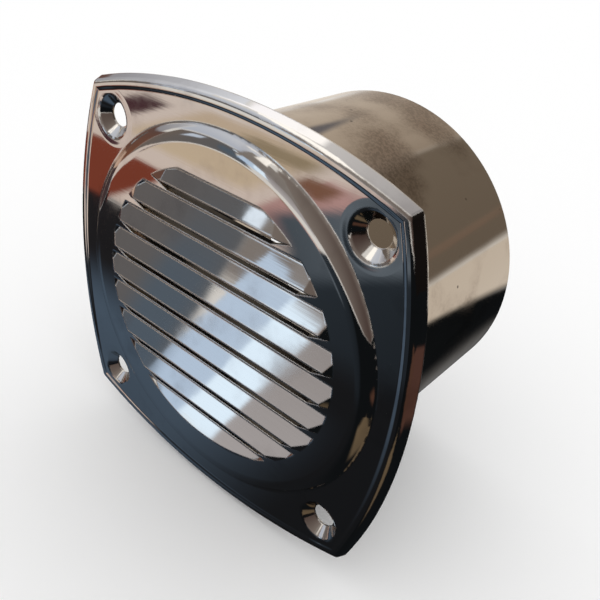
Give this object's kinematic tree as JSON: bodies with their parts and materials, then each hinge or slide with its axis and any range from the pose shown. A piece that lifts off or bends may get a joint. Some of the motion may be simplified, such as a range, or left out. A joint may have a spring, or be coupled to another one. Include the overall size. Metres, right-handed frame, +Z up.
{
  "type": "louvred hull vent",
  "caption": "Pressed square ventilation grille with bowed sides, a raised louvred disc, countersunk corner holes and a round hose tail behind.",
  "frame": {"origin": "on the tail's axis in the mounting plane, the plane of the skirt's back edge, which is the middle of the screw pattern", "axes": "+Y along the tail, away from the face; -Y out of the face; +Z up, so that the slots open downwards"},
  "size_m": [0.0934, 0.06, 0.0934],
  "materials": {
    "polished_plate": "stainless steel sheet, pressed and mirror polished",
    "rolled_tube": "stainless steel tube, bright rolled",
    "weld_metal": "stainless steel weld, satin"
  },
  "bodies": {
    "root": {"face_plate": "polished_plate", "tail_tube": "rolled_tube", "tube_weld": "weld_metal"}
  },
  "joints": []
}
